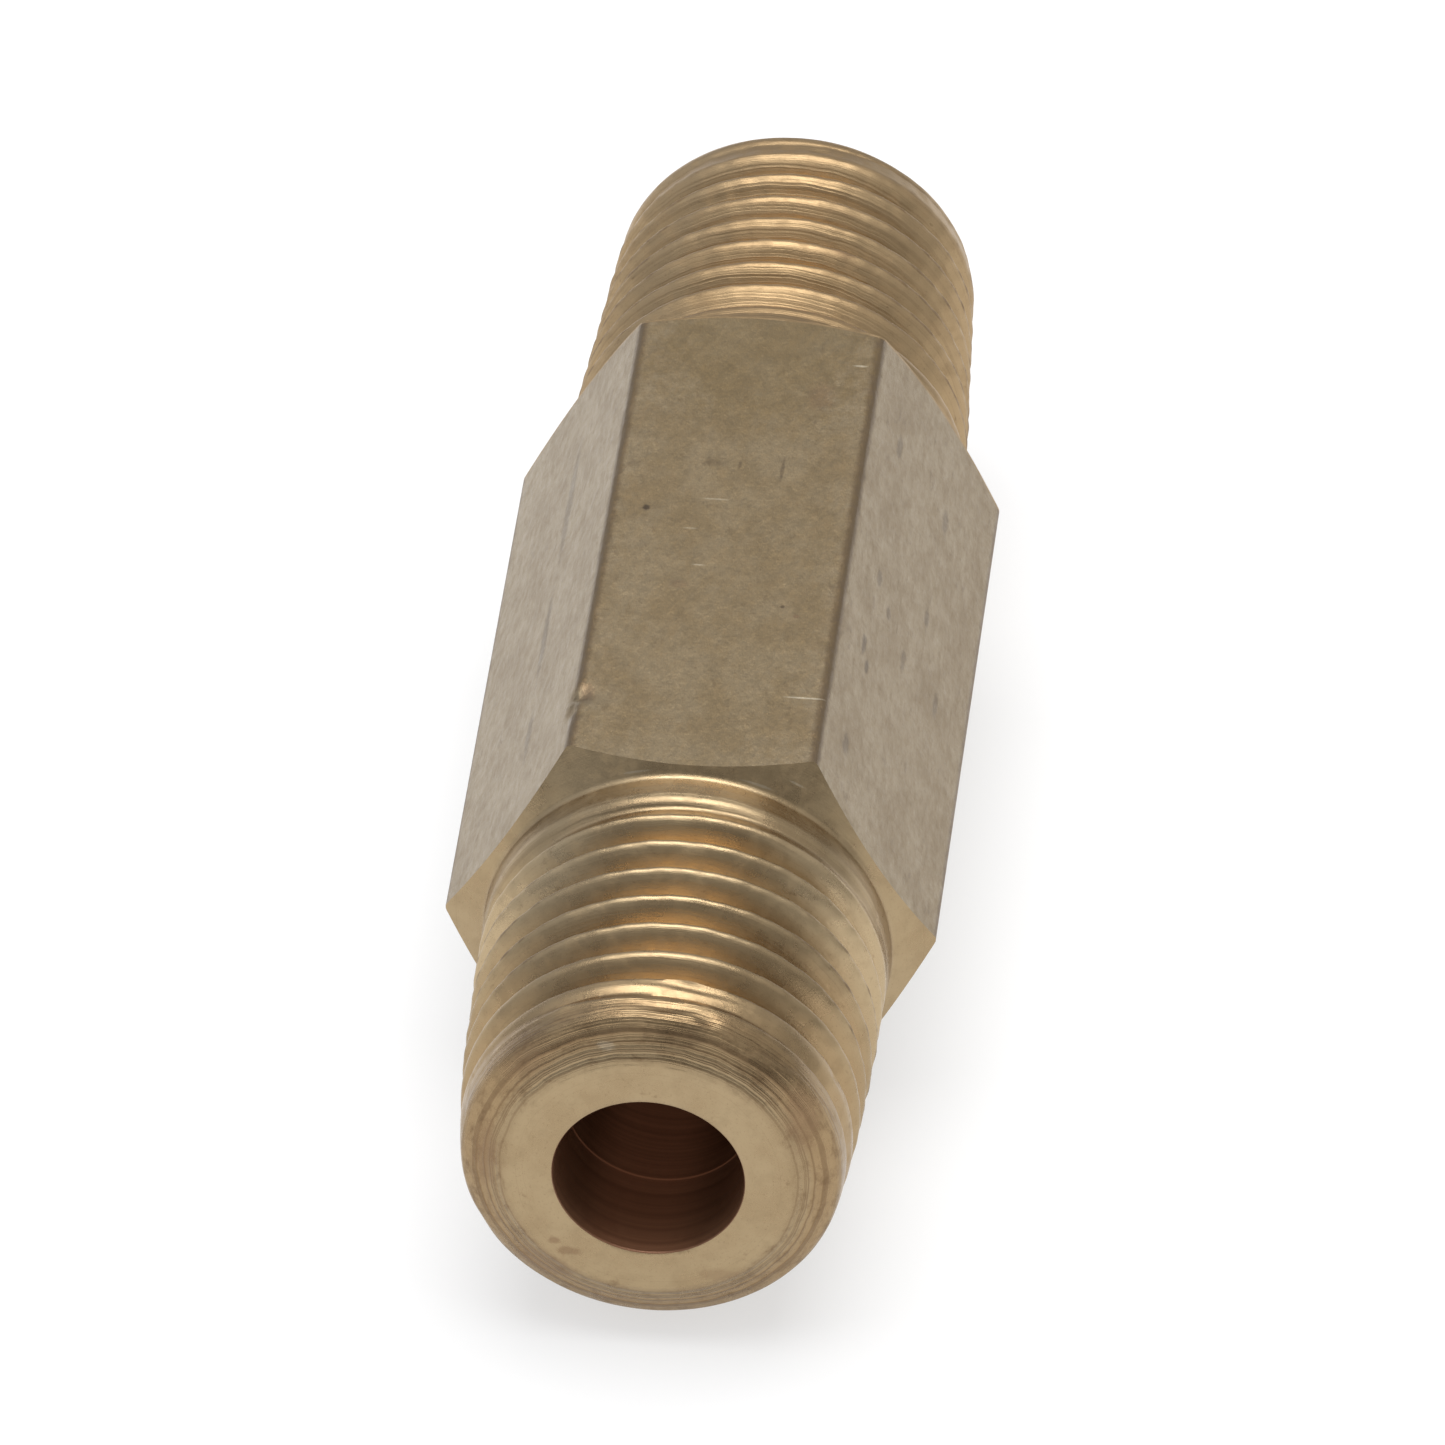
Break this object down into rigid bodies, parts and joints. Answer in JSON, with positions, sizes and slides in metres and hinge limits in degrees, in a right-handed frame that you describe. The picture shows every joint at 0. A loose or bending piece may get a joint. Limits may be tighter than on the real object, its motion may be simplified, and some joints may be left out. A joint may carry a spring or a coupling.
{
  "type": "needle valve",
  "caption": "In-line brass needle valve: hexagon bar body with a male taper pipe thread on each end, and the needle, seat, slotted adjusting screw and spring inside it.",
  "frame": {"origin": "centre of the body on the flow axis, halfway between the two end faces", "axes": "+Y along the flow axis towards the rear port, where the screwdriver slot is reached; -Y towards the front port; +Z the normal of the hexagon's top flat; +X across the hexagon's corners"},
  "size_m": [0.0164, 0.0508, 0.0142],
  "materials": {
    "body_brass": "drawn flats, turned ends",
    "bush_brass": "turned",
    "stainless": "turned and ground",
    "spring_steel": "phosphated",
    "nitrile": "moulded"
  },
  "bodies": {
    "root": {"valve_body": "body_brass", "seat_insert": "stainless", "seat_o_ring": "nitrile", "needle_guide": "bush_brass", "load_spring": "spring_steel", "retaining_ring": "spring_steel"},
    "needle": {"metering_needle": "stainless", "thrust_washer": "stainless"},
    "screw": {"adjusting_screw": "bush_brass", "swivel_pin_left": "spring_steel", "swivel_pin_right": "spring_steel"}
  },
  "joints": [
    {"name": "needle_lift", "type": "slide", "parent": "root", "child": "needle", "axis": [0, 1, 0], "range_m": [0, 0.00272], "deforming": ["load_spring"]},
    {"name": "needle_turn", "type": "hinge", "parent": "needle", "child": "screw", "pos_m": [0, 0.009, 0], "axis": [0, 1, 0], "range_deg": [0, 1080]}
  ],
  "couplings": [
    {"joint": "needle_turn", "follows": "needle_lift", "rad_per_m": 6926.3}
  ]
}
